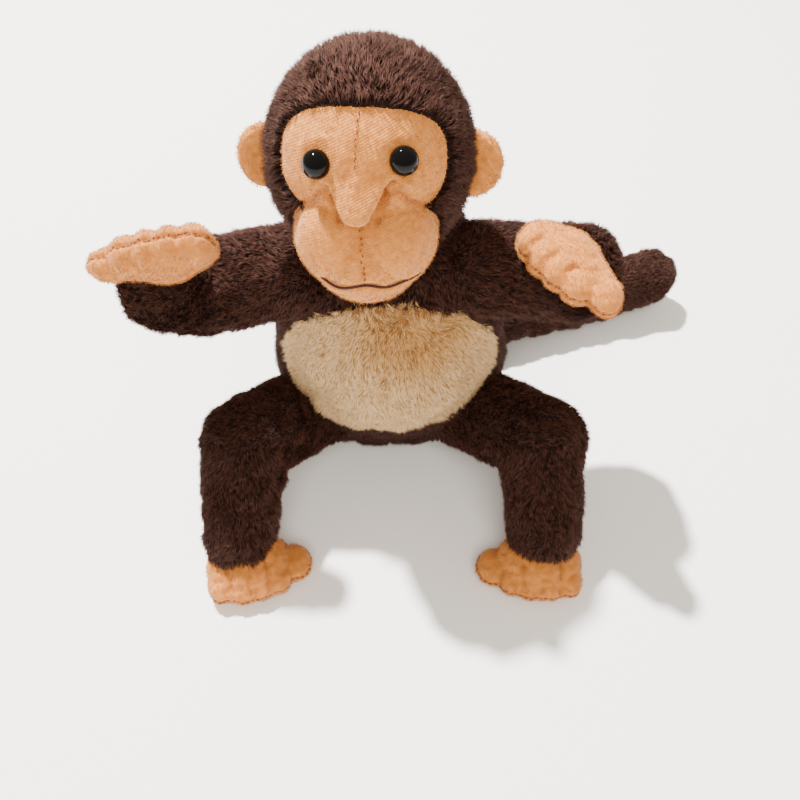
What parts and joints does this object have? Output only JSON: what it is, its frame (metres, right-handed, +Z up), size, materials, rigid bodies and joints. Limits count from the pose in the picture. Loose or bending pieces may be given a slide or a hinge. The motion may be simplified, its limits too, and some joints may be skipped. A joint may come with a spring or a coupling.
{
  "type": "seated stuffed monkey",
  "caption": "Small seated plush monkey with a tan face, hands and feet, a pale belly patch and a long tail; head, arms, legs and tail swing at their sewn roots.",
  "frame": {"origin": "middle of the flat seat under the torso", "axes": "+Z up, -Y the way the toy faces, +X to a viewer's right and along the tail"},
  "size_m": [0.1641, 0.1232, 0.1208],
  "materials": {
    "dark_plush": "short pile",
    "belly_plush": "longer pile",
    "tan_knit": "napped knit",
    "tan_velour": "velour",
    "fibre_stuffing": "loose fibre",
    "eye_black": "polished",
    "washer_plastic": "moulded",
    "dark_thread": "thread"
  },
  "bodies": {
    "torso": {"torso_left": "dark_plush", "torso_right": "dark_plush", "belly_patch": "belly_plush", "torso_stuffing": "fibre_stuffing"},
    "neck": {"neck_thread": "dark_thread"},
    "head": {"crown_gusset": "dark_plush", "hood_left": "dark_plush", "hood_right": "dark_plush", "face_left": "tan_knit", "face_right": "tan_knit", "nose_fold": "tan_knit", "muzzle_left": "tan_knit", "muzzle_right": "tan_knit", "chin": "tan_knit", "mouth_stitch": "dark_thread", "head_stuffing": "fibre_stuffing", "ear_front_left": "tan_velour", "ear_front_right": "tan_velour", "ear_back_left": "tan_velour", "ear_back_right": "tan_velour", "eye_left": "eye_black", "eye_right": "eye_black", "eye_washer_left": "washer_plastic", "eye_washer_right": "washer_plastic"},
    "tail": {"tail_sleeve": "dark_plush", "tail_stuffing": "fibre_stuffing"},
    "arm_left": {"arm_sleeve_left": "dark_plush", "arm_stuffing_left": "fibre_stuffing", "hand_palm_left": "tan_velour", "hand_back_left": "tan_velour", "hand_stuffing_left": "fibre_stuffing"},
    "leg_left": {"leg_sleeve_left": "dark_plush", "leg_stuffing_left": "fibre_stuffing", "foot_upper_left": "tan_velour", "foot_sole_left": "tan_velour", "foot_stuffing_left": "fibre_stuffing"},
    "arm_right": {"arm_sleeve_right": "dark_plush", "arm_stuffing_right": "fibre_stuffing", "hand_palm_right": "tan_velour", "hand_back_right": "tan_velour", "hand_stuffing_right": "fibre_stuffing"},
    "leg_right": {"leg_sleeve_right": "dark_plush", "leg_stuffing_right": "fibre_stuffing", "foot_upper_right": "tan_velour", "foot_sole_right": "tan_velour", "foot_stuffing_right": "fibre_stuffing"}
  },
  "joints": [
    {"name": "head_turn", "type": "hinge", "parent": "torso", "child": "neck", "pos_m": [-0.0037, -0.006, 0.098], "axis": [0, 0, 1], "range_deg": [-35, 35]},
    {"name": "head_nod", "type": "hinge", "parent": "neck", "child": "head", "pos_m": [-0.0037, -0.006, 0.098], "axis": [-1, 0, 0], "range_deg": [-5, 20]},
    {"name": "shoulder_left", "type": "hinge", "parent": "torso", "child": "arm_left", "pos_m": [-0.024, -0.006, 0.066], "axis": [-1, 0, 0], "range_deg": [-45, 45]},
    {"name": "shoulder_right", "type": "hinge", "parent": "torso", "child": "arm_right", "pos_m": [0.024, -0.006, 0.066], "axis": [-1, 0, 0], "range_deg": [-45, 30]},
    {"name": "hip_left", "type": "hinge", "parent": "torso", "child": "leg_left", "pos_m": [-0.0215, -0.009, 0.019], "axis": [-0.8779, -0.4789, 0], "range_deg": [-10, 40]},
    {"name": "hip_right", "type": "hinge", "parent": "torso", "child": "leg_right", "pos_m": [0.0215, -0.009, 0.019], "axis": [-0.8779, 0.4789, 0], "range_deg": [-10, 40]},
    {"name": "tail_swing", "type": "hinge", "parent": "torso", "child": "tail", "pos_m": [0.006, 0.0255, 0.0094], "axis": [0, 0, 1], "range_deg": [-5, 55]}
  ]
}
